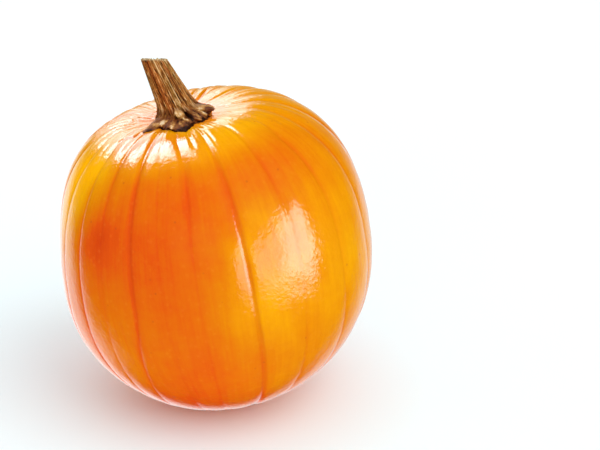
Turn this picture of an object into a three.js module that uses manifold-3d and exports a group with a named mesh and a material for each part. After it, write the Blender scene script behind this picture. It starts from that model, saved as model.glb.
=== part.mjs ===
// A ripe pumpkin with its dried stem, standing on the small flat spot under it.
// Units are millimetres, +Z is up. The origin is on the surface that the pumpkin stands on,
// under the middle of the fruit.
//
// Both pieces are worked out in the fruit's growth frame: its core runs along Z through the origin there,
// from the blossom end up to the stem. The grown shape then leans over to -X and is pressed flat below.
import * as THREE from "three";
import { mergeVertices } from "three/addons/utils/BufferGeometryUtils.js";
import Module from "manifold-3d";

const degree = Math.PI / 180;

// ---------------------------------------------------------------- driving dimensions

const fruit = {
  radius: 120, // round the core at the waist, before the swell
  halfHeight: 124.2, // of the core, before its ends are drawn in
  topSquareness: 2.391, // superellipse exponents of the upper and lower halves, where 2 is an ellipse
  bottomSquareness: 2.062,
  swell: 0.166, // share by which the +X side reaches further out than the mean, and the -X side less far
  bow: 0.072, // sideways bow of the core, as a share of the radius
  stemHollow: { depth: 16.7, radius: 45.6 },
  blossomHollow: { depth: 5, radius: 24 },
  crown: 0.25, // how far a rib stands out between its two furrows
  crownFlatness: 2.4, // 1 is a straight roof over the rib, and more is flatter on top
  lean: 9 * degree, // of the core from upright
};

// Broad uneven places in the growth: polar angle from the stem and azimuth in degrees, width in degrees from
// the middle of the place to where it has dropped to a third, and height.
const unevenness = [
  { polar: 29, azimuth: 57, width: 26, height: 1.4 },
  { polar: 31, azimuth: 136, width: 26, height: -2.4 },
  { polar: 50, azimuth: 168, width: 26, height: 1.9 },
  { polar: 77, azimuth: 185, width: 26, height: -3.9 },
  { polar: 108, azimuth: 200, width: 26, height: 3.0 },
  { polar: 151, azimuth: 263, width: 26, height: -0.9 },
  { polar: 11, azimuth: 276, width: 13, height: 2.2 },
];

const foot = { pressed: 6.5, blend: 1.5 }; // how much of the underside is pressed flat, and its soft edge

// Furrows round the fruit: azimuth in degrees at the waist, its swerve beside the stem, its slants over a
// quarter turn above the waist and below it, the furrow's depth near the stem, at the waist and near the
// blossom end, and the half widths of its slopes on the ribs before and after it.
const furrows = [
  { at: 3, swerve: 4, slants: [0, 0], depth: [1.2, 0.7, 0.8], slopes: [5.5, 5.5] },
  { at: 20.5, swerve: 0, slants: [0, 0], depth: [0.9, 0.3, 0.4], slopes: [5.5, 5.5] },
  { at: 38, swerve: 0, slants: [0, 0], depth: [1.2, 0.9, 0.8], slopes: [4, 6.5] },
  { at: 56, swerve: 3, slants: [0, 0], depth: [0.9, 0.2, 0.4], slopes: [5.5, 5.5] },
  { at: 74, swerve: 0, slants: [0, 0], depth: [1.2, 0.8, 0.8], slopes: [5.5, 4.5] },
  { at: 92, swerve: 2, slants: [0, 0], depth: [0.9, 0.2, 0.4], slopes: [5.5, 5.5] },
  { at: 110, swerve: 0, slants: [0, 0], depth: [1.2, 0.7, 0.8], slopes: [5, 6] },
  { at: 128.5, swerve: -3, slants: [0, 0], depth: [0.9, 0.3, 0.4], slopes: [5.5, 5.5] },
  { at: 147, swerve: 0, slants: [0, 0], depth: [1.2, 0.9, 0.9], slopes: [5.5, 5] },
  { at: 166, swerve: -4, slants: [0, 0], depth: [0.9, 0.25, 0.4], slopes: [5.5, 5.5] },
  { at: 185, swerve: -5, slants: [0, 0], depth: [1.1, 0.6, 0.6], slopes: [5, 5] },
  { at: 204, swerve: -8, slants: [0, 0], depth: [1, 0.6, 0.8], slopes: [5, 5] },
  { at: 221, swerve: -5, slants: [0, 0], depth: [1, 0.6, 0.8], slopes: [6, 6] },
  { at: 235, swerve: 2, slants: [0, -7], depth: [0.9, 0.08, 0.2], slopes: [5.5, 5.5] },
  { at: 249.7, swerve: 1.5, slants: [0, -15], depth: [1.3, 0.85, 0.2], slopes: [3.5, 4.5] },
  { at: 261, swerve: -4, slants: [0, 0], depth: [0.2, 0.06, 0.2], slopes: [5.5, 5.5] },
  { at: 274, swerve: -6, slants: [0, 0], depth: [0.85, 0.24, 0.3], slopes: [5.5, 5.5] },
  { at: 291.8, swerve: 0, slants: [3, 3], depth: [1, 1.4, 1], slopes: [5.5, 2.2] },
  { at: 309, swerve: 2, slants: [0, 0], depth: [0.9, 0.12, 0.3], slopes: [5.5, 5.5] },
  { at: 327, swerve: 9, slants: [0, 0], depth: [0.8, 0.35, 0.4], slopes: [5.5, 5.5] },
  { at: 345, swerve: 6, slants: [0, 0], depth: [0.9, 0.45, 0.5], slopes: [5, 5] },
];
const crease = { width: 1.6, share: 0.45 }; // the sharp bottom of a furrow: half width, share of the depth

// Polar angles in degrees over which a furrow's parts give way to each other.
const fades = {
  begins: { from: 7, over: 10 }, // under the stem
  swerve: { from: 12, over: 28 },
  nearStem: { from: 35, over: 45 },
  nearBlossom: { from: 95, over: 40 },
  ends: { from: 166, over: 10 },
};

const stem = {
  height: 52.5, // from the rind to the cut, along the stem
  cutRadius: 8.5,
  neckRadius: 15, // where the stem begins to spread over the rind
  tilt: 16 * degree, // from the core, towards -X
  offset: { x: 5.5, y: -4 }, // of the stem's foot from the end of the core
  cutSlope: 20 * degree, // how far the level cut drops away towards +Y
  slantStretch: 0.1, // a level cut through a slanting stem is longer along X
  spread: { reach: 7.5, height: 7 }, // of the foot all round, under the roots
  tuck: { depth: 3, height: 2.2 }, // by which its lowest edge draws in again
  ridgeFade: { from: -1, over: 11 }, // heights over which the ridges rise out of the foot
  rindward: 12, // height by which the sections no longer lie along the rind
  cutward: { from: 0.15, over: 0.85 }, // shares of the height over which they turn to the cut
  sunk: 4, // how deep the foot reaches into the rind before it is trimmed
  gap: 0.35, // clearance between the trimmed foot and the rind
};

// Ridges that run up the stem: azimuth in degrees, and height as a share of the stem's radius.
const ridges = [
  { at: 8, height: 0.1 },
  { at: 47, height: 0.12 },
  { at: 85, height: 0.08 },
  { at: 131, height: 0.12 },
  { at: 176, height: 0.1 },
  { at: 216, height: 0.14 },
  { at: 252, height: 0.1 },
  { at: 290, height: 0.13 },
  { at: 327, height: 0.1 },
];
const ridge = { width: 11, sunk: 0.06 }; // half width in degrees, and the share that keeps the mean radius

// Roots that grip the rind: azimuth, how far beyond the foot each reaches, how high it stands,
// its half width in degrees, and how blunt its end is, where 1 is a taper and 3 is a knob.
const roots = [
  { at: 355, reach: 3, height: 9.5, width: 18, blunt: 6 },
  { at: 57, reach: 4, height: 5, width: 22, blunt: 1.2 },
  { at: 112, reach: 3, height: 6, width: 24, blunt: 1.6 },
  { at: 170, reach: 1, height: 7, width: 26, blunt: 1.6 },
  { at: 221, reach: 18.5, height: 4.4, width: 9, blunt: 1.1 },
  { at: 246, reach: 9.5, height: 6, width: 20, blunt: 2.2 },
  { at: 266, reach: 10, height: 6, width: 20, blunt: 2.4 },
  { at: 273, reach: 10.5, height: 3.6, width: 10, blunt: 2 },
  { at: 299, reach: 5.5, height: 6, width: 17, blunt: 2.2 },
  { at: 318, reach: 3.5, height: 7, width: 18, blunt: 2 },
];

// The largest knob of the foot, and the stub of a side shoot that broke off: azimuth and height of the
// middle, how far it stands out, half width in degrees, half height, and the power that shapes its end,
// where 0.5 is a dome and less is flatter.
const knobs = [
  { at: 273, up: 10, out: 6, width: 13, height: 4, end: 0.5 },
  { at: 341, up: 8, out: 7.6, width: 16, height: 4.7, end: 0.28 },
];

const fineness = {
  perRib: 4,
  rings: 34,
  towardWaist: 0.03, // moves the rings closer together there
  stemAround: 80,
  stemRings: 20,
  towardFoot: 1.5, // more than 1 moves the rings closer together there
};

// ---------------------------------------------------------------- the fruit's surface

const signedDegrees = (angle) => ((angle + 540) % 360) - 180;
const bell = (x) => Math.exp(-x * x);
const ease = (x) => {
  const u = Math.min(1, Math.max(0, x));
  return u * u * (3 - 2 * u);
};

// 0 before a fade and 1 after it.
const past = (x, fade) => ease((x - fade.from) / fade.over);

// Radius and height of the plain body at a polar angle from the stem end.
function meridian(polar) {
  const upper = Math.cos(polar) > 0;
  const power = 2 / (upper ? fruit.topSquareness : fruit.bottomSquareness);
  const r = fruit.radius * Math.abs(Math.sin(polar)) ** power;
  const height = fruit.halfHeight * Math.abs(Math.cos(polar)) ** power;
  const hollow = upper ? fruit.stemHollow : fruit.blossomHollow;
  return { r, z: (upper ? 1 : -1) * (height - hollow.depth * bell(r / hollow.radius)) };
}

// Azimuth of a furrow at a polar angle: it slants a little, and swerves beside the stem.
function furrowAzimuth(f, polar) {
  const angle = polar / degree;
  const steep = angle / 90 - 1;
  return f.at + f.slants[steep < 0 ? 0 : 1] * steep + f.swerve * (1 - past(angle, fades.swerve));
}

// A furrow's depth, blended between its three stated depths. It fades out under the stem and at the
// blossom end.
function furrowDepth(f, polar) {
  const angle = polar / degree;
  const nearStem = 1 - past(angle, fades.nearStem);
  const nearBlossom = past(angle, fades.nearBlossom);
  const waist = 1 - nearStem - nearBlossom;
  const faded = past(angle, fades.begins) * (1 - past(angle, fades.ends));
  return (f.depth[0] * nearStem + f.depth[1] * waist + f.depth[2] * nearBlossom) * faded;
}

// Faintly crowned ribs, with a furrow between each two that has soft slopes and a sharper crease.
function ribHeight(polar, azimuth, r) {
  const arc = r * degree; // millimetres per degree of azimuth
  let before = 180;
  let after = 180;
  let carved = 0;
  for (const f of furrows) {
    const away = signedDegrees(azimuth - furrowAzimuth(f, polar));
    if (away >= 0) before = Math.min(before, away);
    else after = Math.min(after, -away);
    const slope = (1 - crease.share) * bell((away * arc) / f.slopes[away < 0 ? 0 : 1]);
    const sharp = crease.share * bell((away * arc) / crease.width);
    carved += furrowDepth(f, polar) * (slope + sharp);
  }
  const across = (2 * Math.min(before, after)) / (before + after); // 0 at a furrow, 1 midway between two
  return fruit.crown * Math.sin(polar) * (1 - (1 - across) ** fruit.crownFlatness) - carved;
}

// Unit vector at a polar angle in radians and an azimuth in degrees.
const direction = (polar, azimuth) =>
  new THREE.Vector3(
    Math.sin(polar) * Math.cos(azimuth * degree),
    Math.sin(polar) * Math.sin(azimuth * degree),
    Math.cos(polar),
  );

function unevenHeight(polar, azimuth) {
  const here = direction(polar, azimuth);
  return unevenness.reduce((sum, place) => {
    const angle = here.angleTo(direction(place.polar * degree, place.azimuth)) / degree;
    return sum + place.height * bell(angle / place.width);
  }, 0);
}

// A point of the fruit in the growth frame: the plain body, moved out along its normal by the ribs, the
// unevenness and lift, then swelled and bowed sideways.
function fruitPoint(polar, azimuth, lift = 0) {
  const { r, z } = meridian(polar);
  const step = 0.002;
  const above = meridian(Math.max(0, polar - step));
  const below = meridian(Math.min(Math.PI, polar + step));
  const normal = new THREE.Vector2(above.z - below.z, below.r - above.r).normalize();
  const out = ribHeight(polar, azimuth, r) + unevenHeight(polar, azimuth) + lift;
  const reach = Math.max(0, r + normal.x * out) * (1 + fruit.swell * Math.cos(azimuth * degree));
  const height = z + normal.y * out;
  return new THREE.Vector3(
    reach * Math.cos(azimuth * degree) + (fruit.bow * height ** 2) / fruit.radius,
    reach * Math.sin(azimuth * degree),
    height,
  );
}

const leaned = (point) => point.clone().applyAxisAngle(new THREE.Vector3(0, 1, 0), -fruit.lean);

// Presses the underside flat at the height floor, with a soft edge.
function pressed(point, floor) {
  const above = point.z - floor;
  if (above >= foot.blend) return point;
  if (above <= -foot.blend) return point.clone().setZ(floor);
  return point.clone().setZ(floor + (above + foot.blend) ** 2 / (4 * foot.blend));
}

// ---------------------------------------------------------------- meshes from rings of points

// Closes a stack of rings into a solid, between an end point on top and one below. The rings are listed
// from the top down, and each ring's points anticlockwise seen from above.
function closedStack(top, rings, bottom) {
  const around = rings[0].length;
  const points = [top, ...rings.flat(), bottom];
  const at = (ring, i) => 1 + ring * around + (i % around);
  const lastRing = rings.length - 1;
  const faces = [];
  for (let i = 0; i < around; i++) {
    faces.push(0, at(0, i), at(0, i + 1));
    for (let ring = 0; ring < lastRing; ring++) {
      faces.push(at(ring, i), at(ring + 1, i), at(ring + 1, i + 1));
      faces.push(at(ring, i), at(ring + 1, i + 1), at(ring, i + 1));
    }
    faces.push(points.length - 1, at(lastRing, i + 1), at(lastRing, i));
  }
  const geometry = new THREE.BufferGeometry().setFromPoints(points);
  geometry.setIndex(faces);
  return geometry;
}

// Azimuths at one polar angle: one at the bottom of each furrow, and the rest spaced over the ribs.
function azimuthsAt(polar) {
  const azimuths = [];
  furrows.forEach((f, i) => {
    const turn = i + 1 === furrows.length ? 360 : 0;
    const from = furrowAzimuth(f, polar);
    const to = furrowAzimuth(furrows[(i + 1) % furrows.length], polar) + turn;
    for (let k = 0; k < fineness.perRib; k++) azimuths.push(from + ((to - from) * k) / fineness.perRib);
  });
  return azimuths;
}

// The whole fruit, leaning and pressed flat. lift makes it larger all over, as a cutter for what sits on it.
function fruitGeometry(lift = 0) {
  const rings = [];
  for (let k = 1; k < fineness.rings; k++) {
    const share = k / fineness.rings;
    const polar = Math.PI * (share - fineness.towardWaist * Math.sin(2 * Math.PI * share));
    rings.push(azimuthsAt(polar).map((azimuth) => leaned(fruitPoint(polar, azimuth, lift))));
  }
  const top = leaned(fruitPoint(0, 0, lift));
  const bottom = leaned(fruitPoint(Math.PI, 0, lift));
  const floor = Math.min(...rings.flat().map((point) => point.z)) + foot.pressed;
  const standing = rings.map((ring) => ring.map((point) => pressed(point, floor)));
  return { floor, geometry: closedStack(top, standing, pressed(bottom, floor)) };
}

// ---------------------------------------------------------------- the stem

const coreEnd = fruitPoint(0, 0);

// Height of the uneven rind near the stem, without its furrows.
function rindHeight(x, y) {
  const share = Math.min(1, Math.hypot(x, y) / fruit.radius);
  const polar = Math.asin(share ** (fruit.topSquareness / 2));
  return meridian(polar).z + unevenHeight(polar, Math.atan2(y, x) / degree);
}
const rindRise = (x, y) => rindHeight(x, y) - rindHeight(0, 0);

// Sum of the bumps in a list round the stem, each a bell over its half width in degrees.
const bumps = (list, azimuth, width, size) =>
  list.reduce((sum, bump) => sum + size(bump) * bell(signedDegrees(azimuth - bump.at) / width(bump)), 0);

// How far the knobs stand out.
const knobHeight = (up, azimuth) =>
  knobs.reduce((sum, knob) => {
    const across = signedDegrees(azimuth - knob.at) / knob.width;
    const along = (up - knob.up) / knob.height;
    return sum + knob.out * Math.max(0, 1 - across ** 2 - along ** 2) ** knob.end;
  }, 0);

// A point on the stem's side: up is the distance along the stem from the rind.
function stemPoint(up, azimuth) {
  const share = up / stem.height;
  const plain = stem.neckRadius + (stem.cutRadius - stem.neckRadius) * share;
  const fading = past(up, stem.ridgeFade);
  const ridged = bumps(ridges, azimuth, () => ridge.width, (b) => b.height) - ridge.sunk;
  const spread = stem.spread.reach * Math.exp(-up / stem.spread.height);
  const tuck = stem.tuck.depth * bell(up / stem.tuck.height);
  const grip = (b) => b.reach * Math.exp(-((up / b.height) ** b.blunt));
  const gripping = bumps(roots, azimuth, (b) => b.width, grip) + knobHeight(up, azimuth);
  const r = plain * (1 + fading * ridged) + spread - tuck + gripping;
  // The sections lie along the rind at the foot, and along the level, backward sloping cut at the top.
  const likeCut = past(share, stem.cutward);
  const onRind = bell(up / stem.rindward);
  const acrossX = r * Math.cos(azimuth * degree) * (1 + stem.slantStretch * likeCut);
  const acrossY = r * Math.sin(azimuth * degree);
  const x = stem.offset.x - up * Math.sin(stem.tilt) + acrossX;
  const y = stem.offset.y + acrossY;
  const levelled = -(acrossX * Math.tan(fruit.lean) + acrossY * Math.tan(stem.cutSlope)) * likeCut;
  const z = up * Math.cos(stem.tilt) + levelled + rindRise(x, y) * onRind;
  return new THREE.Vector3(x, y, z).add(coreEnd);
}

// The stem before it is trimmed, with its foot sunk into the rind.
function stemGeometry() {
  const azimuths = Array.from({ length: fineness.stemAround }, (_, i) => (360 * i) / fineness.stemAround);
  const rings = [];
  for (let k = 0; k <= fineness.stemRings; k++) {
    const up = stem.height * (1 - k / fineness.stemRings) ** fineness.towardFoot;
    rings.push(azimuths.map((azimuth) => stemPoint(up, azimuth)));
  }
  rings.push(rings.at(-1).map((point) => point.clone().setZ(point.z - stem.sunk)));
  const leaning = rings.map((ring) => ring.map(leaned));
  const cut = leaning[0].reduce((sum, point) => sum.add(point), new THREE.Vector3());
  const cutMiddle = cut.divideScalar(leaning[0].length);
  return closedStack(cutMiddle, leaning, leaned(coreEnd.clone().setZ(coreEnd.z - stem.sunk)));
}

// ---------------------------------------------------------------- trimming the stem to the rind

const wasm = await Module();
wasm.setup();

function toSolid(geometry) {
  const bare = geometry.clone();
  bare.deleteAttribute("normal");
  bare.deleteAttribute("uv");
  const merged = mergeVertices(bare, 1e-4);
  return new wasm.Manifold(
    new wasm.Mesh({
      numProp: 3,
      vertProperties: merged.attributes.position.array,
      triVerts: new Uint32Array(merged.index.array),
    }),
  );
}

function toGeometry(solid) {
  const mesh = solid.getMesh();
  const geometry = new THREE.BufferGeometry();
  geometry.setAttribute("position", new THREE.BufferAttribute(mesh.vertProperties, 3));
  geometry.setIndex(new THREE.BufferAttribute(mesh.triVerts, 1));
  return geometry;
}

// ---------------------------------------------------------------- the object

const rind = new THREE.MeshStandardMaterial({ color: 0xee7a08, roughness: 0.3, metalness: 0 });
const driedStem = new THREE.MeshStandardMaterial({ color: 0x7c5630, roughness: 0.8, metalness: 0 });

function named(name, geometry, material) {
  geometry.computeVertexNormals();
  const mesh = new THREE.Mesh(geometry, material);
  mesh.name = name;
  return mesh;
}

const { geometry: body, floor } = fruitGeometry();
const trimmed = toSolid(stemGeometry()).subtract(toSolid(fruitGeometry(stem.gap).geometry));

const pumpkin = new THREE.Group();
pumpkin.add(named("fruit", body, rind));
pumpkin.add(named("stem", toGeometry(trimmed), driedStem));

// Stands it on the origin.
body.computeBoundingBox();
const middle = body.boundingBox.getCenter(new THREE.Vector3());
pumpkin.position.set(-middle.x, -middle.y, -floor);

export default pumpkin;
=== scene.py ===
import math
import bpy
import numpy as np
from mathutils import Euler, Matrix, Vector


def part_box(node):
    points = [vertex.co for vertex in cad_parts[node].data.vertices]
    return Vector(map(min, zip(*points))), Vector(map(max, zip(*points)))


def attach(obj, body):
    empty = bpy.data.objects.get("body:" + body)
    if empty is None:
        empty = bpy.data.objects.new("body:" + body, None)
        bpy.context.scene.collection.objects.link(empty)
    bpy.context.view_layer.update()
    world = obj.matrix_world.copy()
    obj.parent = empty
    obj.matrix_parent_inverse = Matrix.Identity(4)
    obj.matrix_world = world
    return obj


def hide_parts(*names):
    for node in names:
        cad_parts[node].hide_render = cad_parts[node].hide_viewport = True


# A ripe pumpkin with its dried stem. Shapes are worked out in millimetres in the growth frame, where the
# core runs along Z from the blossom end up to the stem, and are then leaned, pressed flat below and set on
# the frame.

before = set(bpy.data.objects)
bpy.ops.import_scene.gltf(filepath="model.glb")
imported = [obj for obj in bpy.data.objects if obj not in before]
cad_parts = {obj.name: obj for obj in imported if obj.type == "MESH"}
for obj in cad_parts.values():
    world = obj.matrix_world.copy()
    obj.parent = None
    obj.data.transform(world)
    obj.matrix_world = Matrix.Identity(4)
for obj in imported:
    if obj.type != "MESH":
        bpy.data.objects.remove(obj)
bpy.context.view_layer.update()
print("frame loaded:", ", ".join(sorted(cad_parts)))


# small helpers

def ease(x):  # 0 below 0, 1 above 1, smooth between
    u = np.clip(x, 0, 1)
    return u * u * (3 - 2 * u)


def bell(x):  # 1 at 0, 0.37 at 1
    return np.exp(-np.square(x))


def signedDegrees(angle):  # the same angle from -180 to 180
    return (angle + 540) % 360 - 180


def linearColour(hexCode):  # sRGB hex to the linear values that sockets take, and full alpha
    parts = np.array([int(hexCode[i:i + 2], 16) for i in (1, 3, 5)]) / 255
    linear = np.where(parts <= 0.04045, parts / 12.92, ((parts + 0.055) / 1.055) ** 2.4)
    return (*linear.tolist(), 1.0)


def wavesRound(azimuth, along, seed, count, crests, drift, height):
    # height * sum of cosines of crests * azimuth + drift * along + phase, over the size that such a sum has,
    # with whole crests so that it closes round the piece
    random = np.random.default_rng(seed)
    total = 0
    for _ in range(count):
        crestCount = random.integers(crests[0], crests[1] + 1)
        slide = random.uniform(-drift, drift)
        phase = random.uniform(0, 2 * math.pi)
        total = total + np.cos(np.radians(azimuth) * crestCount + slide * along + phase)
    return total / math.sqrt(count / 2) * height


def setRamp(ramp, stops):  # stops are a place from 0 to 1 and a colour
    elements = ramp.color_ramp.elements
    while len(elements) < len(stops):
        elements.new(1)
    for element, (at, colour) in zip(elements, stops):
        element.position = at
        element.color = linearColour(colour)


def stackMesh(name, top, rings, bottom, attributes):
    # Closed skin: rings of points from the top down, anticlockwise from above, capped by a point at each end.
    # attributes holds a number or a vector per ring point for each name, and a cap takes its ring's mean.
    count, around = rings.shape[:2]
    points = np.concatenate([[top], rings.reshape(-1, 3), [bottom]]) * 0.001
    here = 1 + np.arange(around)
    after = 1 + (np.arange(around) + 1) % around
    down = around * np.arange(count - 1)[:, None]
    quads = np.stack([here + down, here + down + around, after + down + around, after + down], -1)
    last = around * (count - 1)
    lids = [(0, a, b) for a, b in zip(here, after)]
    lids += [(len(points) - 1, b + last, a + last) for a, b in zip(here, after)]
    mesh = bpy.data.meshes.new(name)
    mesh.from_pydata(points.tolist(), [], quads.reshape(-1, 4).tolist() + lids)
    for key, values in attributes.items():
        size = values.shape[2:]
        full = np.concatenate([values[:1].mean(1), values.reshape(-1, *size), values[-1:].mean(1)])
        kind, field = ("FLOAT_VECTOR", "vector") if size else ("FLOAT", "value")
        mesh.attributes.new(key, kind, "POINT").data.foreach_set(field, full.astype(np.float32).ravel())
    mesh.shade_smooth()
    piece = bpy.data.objects.new(name, mesh)
    bpy.context.collection.objects.link(piece)
    return piece


def addNode(tree, kind, settings=None, links=None):
    # settings sets properties by name or inputs by index or name, links joins inputs to sockets
    node = tree.nodes.new(kind)
    for key, value in (settings or {}).items():
        if isinstance(key, str) and hasattr(node, key):
            setattr(node, key, value)
        else:
            node.inputs[key].default_value = value
    for key, socket in (links or {}).items():
        tree.links.new(socket, node.inputs[key])
    return node


def newMaterial(name):
    material = bpy.data.materials.new(name)
    material.use_nodes = True
    material.node_tree.nodes.clear()
    return material, material.node_tree


# fruit: shape

fruitShape = {
    "radius": 120, "halfHeight": 124.2,
    "topSquareness": 2.391, "bottomSquareness": 2.062,
    "swell": 0.166, "bow": 0.072,  # fuller and bent towards +X, as shares of the radius
    "lean": 9,
    "stemHollow": (16.7, 45.6), "blossomHollow": (5, 24),  # depth, radius
    "crown": 0.25, "crownPower": 2.4,  # how far a rib stands out in its middle, and how flat it is there
    "crease": 1.6, "creaseByStem": 2.0, "creaseShare": 0.45,
    "pressed": 6.5, "footBlend": 1.5, "streakTurn": 0.06,
    "rings": 148, "columnsPerRib": 31, "crowding": 0.45, "ringsToTop": 0.12,
}

# where a change on the way down the fruit begins, as a polar angle, and over how many degrees it runs, which
# are below 0 for one that runs back up
changes = {
    "swerve": (12, 28), "stemDepth": (35, 45), "blossomDepth": (95, 40), "furrowStart": (7, 10),
    "furrowEnd": (176, -10), "creaseWidth": (28, 30), "puckerStart": (8, 7), "pleatStart": (6, 6),
    "pleatEnd": (24, 34), "grooveShade": (30, 25), "paintedLightByStem": (9, 8),
}

# how much of a furrow's painted shade, a darker red, its crease has, the rest being on its slopes, how much
# of it a pucker has, and how much of both is left beside the stem
creaseShade = {"crease": 0.65, "pucker": 0.6, "byStem": 0.3}

# fine waves of the skin: seed, how many, whole crests round the fruit from and to, drift, height
pleats = (3, 18, (40, 110), 1.5, 0.04)
ripples = (5, 40, (10, 60), 60, 0.05)

# azimuth at the waist, swerve beside the stem, slant over a quarter turn above the waist and below it, depth
# near the stem, at the waist and near the blossom end, how far its slopes reach on the two ribs beside it
furrows = np.array([
    (3, 4, 0, 0, 1.2, 0.7, 0.8, 5.5, 5.5), (20.5, 0, 0, 0, 0.9, 0.3, 0.4, 5.5, 5.5),
    (38, 0, 0, 0, 1.2, 0.9, 0.8, 4, 6.5), (56, 3, 0, 0, 0.9, 0.2, 0.4, 5.5, 5.5),
    (74, 0, 0, 0, 1.2, 0.8, 0.8, 5.5, 4.5), (92, 2, 0, 0, 0.9, 0.2, 0.4, 5.5, 5.5),
    (110, 0, 0, 0, 1.2, 0.7, 0.8, 5, 6), (128.5, -3, 0, 0, 0.9, 0.3, 0.4, 5.5, 5.5),
    (147, 0, 0, 0, 1.2, 0.9, 0.9, 5.5, 5), (166, -4, 0, 0, 0.9, 0.25, 0.4, 5.5, 5.5),
    (185, -5, 0, 0, 1.1, 0.6, 0.6, 5, 5), (204, -8, 0, 0, 1, 0.6, 0.8, 5, 5),
    (221, -5, 0, 0, 1, 0.6, 0.8, 6, 6), (235, 2, 0, -7, 0.9, 0.08, 0.2, 5.5, 5.5),
    (249.7, 1.5, 0, -15, 1.3, 0.85, 0.2, 3.5, 4.5), (261, -4, 0, 0, 0.2, 0.06, 0.2, 5.5, 5.5),
    (274, -6, 0, 0, 0.85, 0.24, 0.3, 5.5, 5.5), (291.8, 0, 3, 3, 1, 1.4, 1, 5.5, 2.2),
    (309, 2, 0, 0, 0.9, 0.12, 0.3, 5.5, 5.5), (327, 9, 0, 0, 0.8, 0.35, 0.4, 5.5, 5.5),
    (345, 6, 0, 0, 0.9, 0.45, 0.5, 5, 5),
])

# creases where the skin puckers round the stem, on each rib: place as a share of the rib, polar angle that
# it reaches, depth, half width
puckers = [(0.5, 39, 0.85, 1.8), (0.25, 31, 0.25, 1.2), (0.75, 31, 0.25, 1.2)]
# how far each is out of place and too long or short, and by what its depth is multiplied, at random
puckerChance = {"seed": 250, "place": 0.07, "reach": 5, "depth": (0.2, 1.3)}
# a rib under narrowRib degrees wide has none, and one wider by fullSpan has them whole; each one fades out
# over the last fadeOut degrees of its reach
puckerLimits = {"narrowRib": 10, "fullSpan": 9, "fadeOut": 11}

# short cracks that run out from the stem's roots: polar angle and azimuth at both ends, depth, half width
cracks = [
    (17, 235, 28, 214, 2.2, 1.3), (8, 20, 14, 6, 0.5, 0.9), (10, 62, 24, 66, 1.4, 1.1),
    (7, 163, 15, 157, 1.1, 0.9), (11, 290, 19, 297, 0.9, 0.9), (10, 252, 18, 246, 0.8, 0.9),
]
crackEnds = (0.25, 0.4)  # shares of its length over which it opens and closes

# broad uneven places: polar angle, azimuth, width, height
unevenness = [
    (29, 57, 26, 1.4), (31, 136, 26, -2.4), (50, 168, 26, 1.9), (77, 185, 26, -3.9), (108, 200, 26, 3.0),
    (151, 263, 26, -0.9), (11, 276, 13, 2.2),
]

# where the skin is redder (below 0) or more golden, partly from ripening and partly painted light and shade:
# golden on the lit right side and upper left, round the stem's foot where its shade falls and just below the
# top highlight, redder on the shaded left; polar angle, azimuth, width, change
ripenessAndPaintedLight = [
    (68.5, 233.5, 9.5, -0.42), (70, 260, 26, -0.16), (128, 262, 24, -0.2), (50, 290, 20, -0.12),
    (88, 334, 36, 0.62), (49, 206, 17, 0.85), (34, 190, 22, 0.35), (34, 352, 26, 0.3), (122, 297, 16, 0.2),
    (106, 238, 18, 0.2), (40, 221, 6, 0.4), (42, 322, 16, -0.17), (62, 296, 14, 0.22), (90, 293, 13, 0.5),
    (70, 198, 17, 0.5), (0, 0, 26, 0.45), (30, 40, 26, 0.3), (80, 60, 34, -0.22), (60, 110, 26, 0.3),
    (95, 150, 32, -0.25), (120, 95, 28, 0.25), (73, 289, 5, 0.35), (66, 298, 8, 0.2), (37, 246, 8, 0.25),
    (36, 260, 8, 0.25), (36, 277, 8, 0.25), (31, 296, 10, 0.42), (24, 318, 9, 0.3), (14, 262, 8, 0.2),
    (16, 298, 8, 0.25),
]
plainRipeness = 0.25


def changed(angle, name):  # how far a change has got: 0 where it begins, 1 where it ends
    start, span = changes[name]
    return ease((angle - start) / span)


def meridian(polar):
    # superellipse: r = radius * sin^(2/n), z = halfHeight * cos^(2/n), with a bell-shaped hollow at each end
    shape = fruitShape
    upper = np.cos(polar) > 0
    power = 2 / np.where(upper, shape["topSquareness"], shape["bottomSquareness"])
    r = shape["radius"] * np.abs(np.sin(polar)) ** power
    height = shape["halfHeight"] * np.abs(np.cos(polar)) ** power
    (topDepth, topRadius), (lowDepth, lowRadius) = shape["stemHollow"], shape["blossomHollow"]
    hollow = np.where(upper, topDepth * bell(r / topRadius), lowDepth * bell(r / lowRadius))
    return r, np.where(upper, 1, -1) * (height - hollow)


def leaned(points):  # the core leans towards -X
    lean = math.radians(fruitShape["lean"])
    x, y, z = np.moveaxis(points, -1, 0)
    return np.stack([x * math.cos(lean) - z * math.sin(lean), y, x * math.sin(lean) + z * math.cos(lean)], -1)


def outward(polar, azimuth):  # unit direction from the middle of the fruit
    p, a = np.radians(polar), np.radians(azimuth)
    return np.stack([np.sin(p) * np.cos(a), np.sin(p) * np.sin(a), np.cos(p) + 0 * a], -1)


def patches(direction, places):  # sum of bell-shaped places: polar angle, azimuth, width, amount
    total = 0
    for polar, azimuth, width, amount in places:
        apart = np.degrees(np.arccos(np.clip(direction @ outward(polar, azimuth), -1, 1)))
        total = total + amount * bell(apart / width)
    return total


def rindHeight(x, y):  # height of the uneven rind near the stem, without its furrows
    share = np.minimum(1, np.hypot(x, y) / fruitShape["radius"])
    polar = np.arcsin(share ** (fruitShape["topSquareness"] / 2))
    direction = outward(np.degrees(polar), np.degrees(np.arctan2(y, x)))
    return meridian(polar)[1] + patches(direction, unevenness)


def furrowAzimuths(angle):  # azimuth at the waist + slants, and a swerve beside the stem
    beside = (1 - changed(angle, "swerve"))[..., None]
    steep = (angle / 90 - 1)[..., None]
    slanted = furrows[:, 2] * np.minimum(0, steep) + furrows[:, 3] * np.maximum(0, steep)
    return furrows[:, 0] + furrows[:, 1] * beside + slanted


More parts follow.
